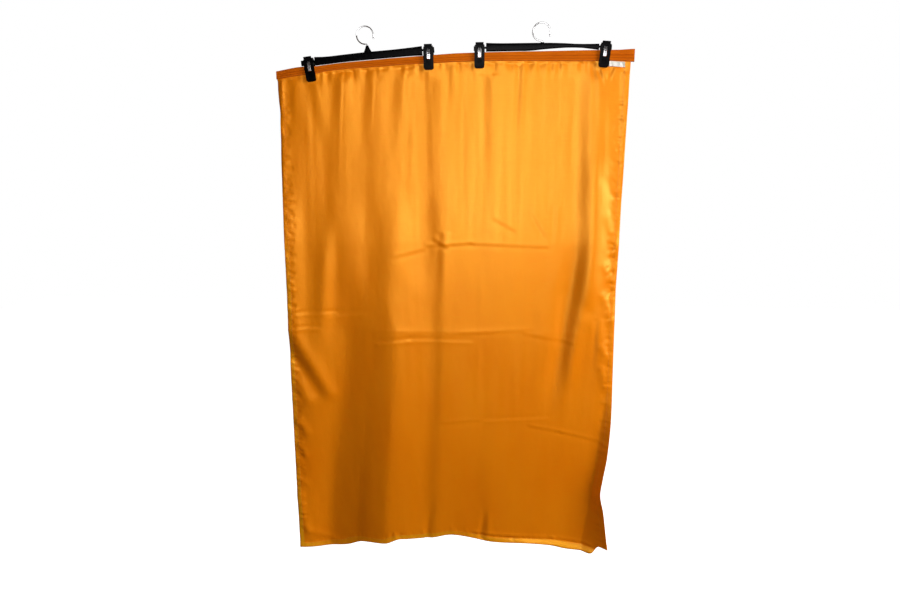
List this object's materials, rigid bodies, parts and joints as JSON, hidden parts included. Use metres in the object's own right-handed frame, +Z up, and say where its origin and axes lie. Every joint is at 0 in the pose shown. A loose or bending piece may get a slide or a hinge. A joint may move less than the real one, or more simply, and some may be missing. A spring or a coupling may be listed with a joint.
{
  "type": "worship flag on clip hangers",
  "caption": "Tall satin praise banner gathered into a folded heading band and hung from clip hangers, with soft uneven vertical folds and narrow turned hems.",
  "frame": {"origin": "saddle of the left hook: the inner top of its loop, where a level rail carries it", "axes": "+X along the rail to the right as seen from the front, +Y from the viewer through the cloth to its back, +Z up"},
  "size_m": [0.9141, 0.0612, 1.473],
  "materials": {
    "satin": "satin",
    "band_cloth": "matte",
    "label_cloth": "matte",
    "black_plastic": "gloss",
    "spring_steel": "brushed",
    "hook_steel": "polished"
  },
  "bodies": {
    "root": {"panel": "satin", "heading_band": "band_cloth", "label": "label_cloth", "left_bar": "black_plastic", "right_bar": "black_plastic", "left_hook": "hook_steel", "right_hook": "hook_steel", "clip_1_front_jaw": "black_plastic", "clip_1_back_jaw": "black_plastic", "clip_2_front_jaw": "black_plastic", "clip_2_back_jaw": "black_plastic", "clip_3_front_jaw": "black_plastic", "clip_3_back_jaw": "black_plastic", "clip_4_front_jaw": "black_plastic", "clip_4_back_jaw": "black_plastic", "clip_1_spring": "spring_steel", "clip_2_spring": "spring_steel", "clip_3_spring": "spring_steel", "clip_4_spring": "spring_steel"}
  },
  "joints": []
}
